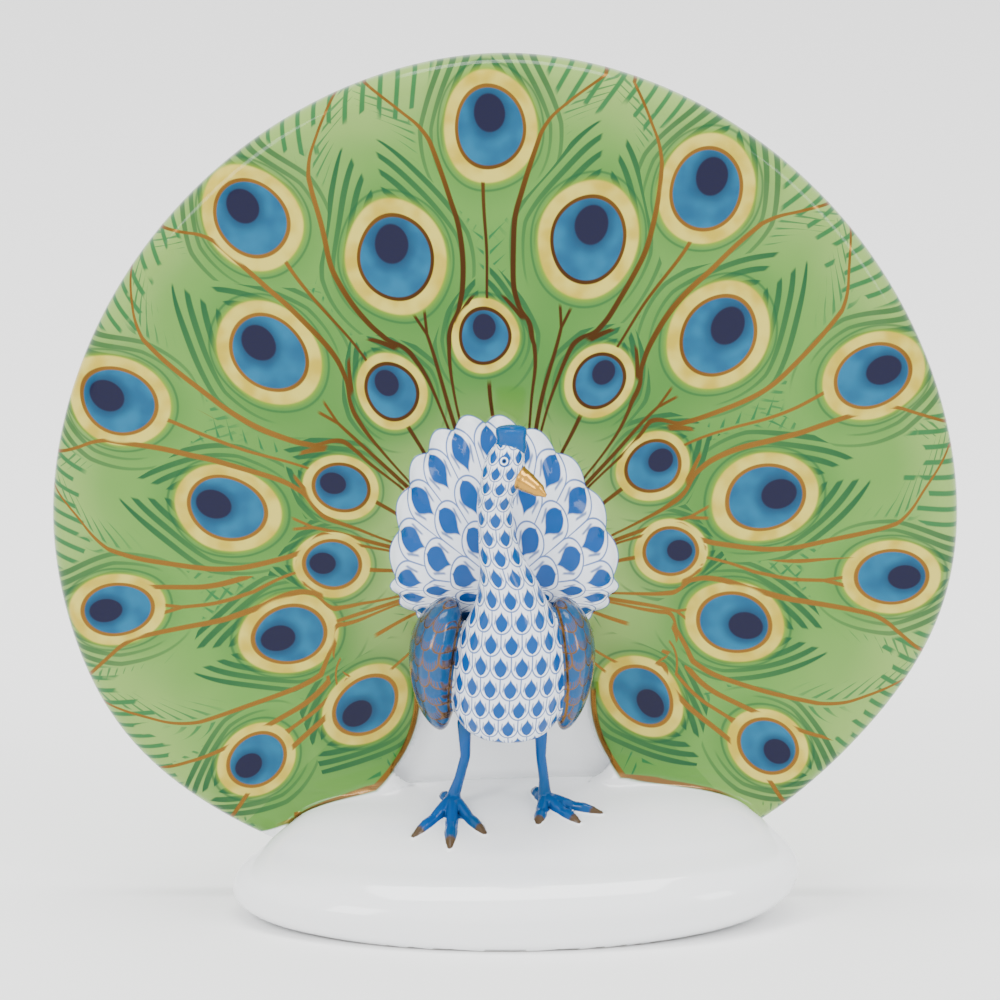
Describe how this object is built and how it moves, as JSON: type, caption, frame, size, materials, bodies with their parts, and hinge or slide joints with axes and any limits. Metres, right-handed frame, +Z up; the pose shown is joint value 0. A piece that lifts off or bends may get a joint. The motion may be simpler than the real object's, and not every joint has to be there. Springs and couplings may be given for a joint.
{
  "type": "peacock figurine",
  "caption": "Glazed porcelain peacock standing before its raised round tail fan, on an oval base cast in one with it.",
  "frame": {"origin": "on the table under the middle of the oval base, midway across the figurine's width and depth", "axes": "+X to the bird's left hand, which is the right of a viewer in front; +Y from the bird's breast back to the tail fan; +Z up"},
  "size_m": [0.1418, 0.0456, 0.1344],
  "materials": {
    "glazed_porcelain": "gloss glaze over white porcelain, painted in greens, blues and cream with metallic gold lines"
  },
  "bodies": {
    "root": {"peacock_figurine": "glazed_porcelain"}
  },
  "joints": []
}
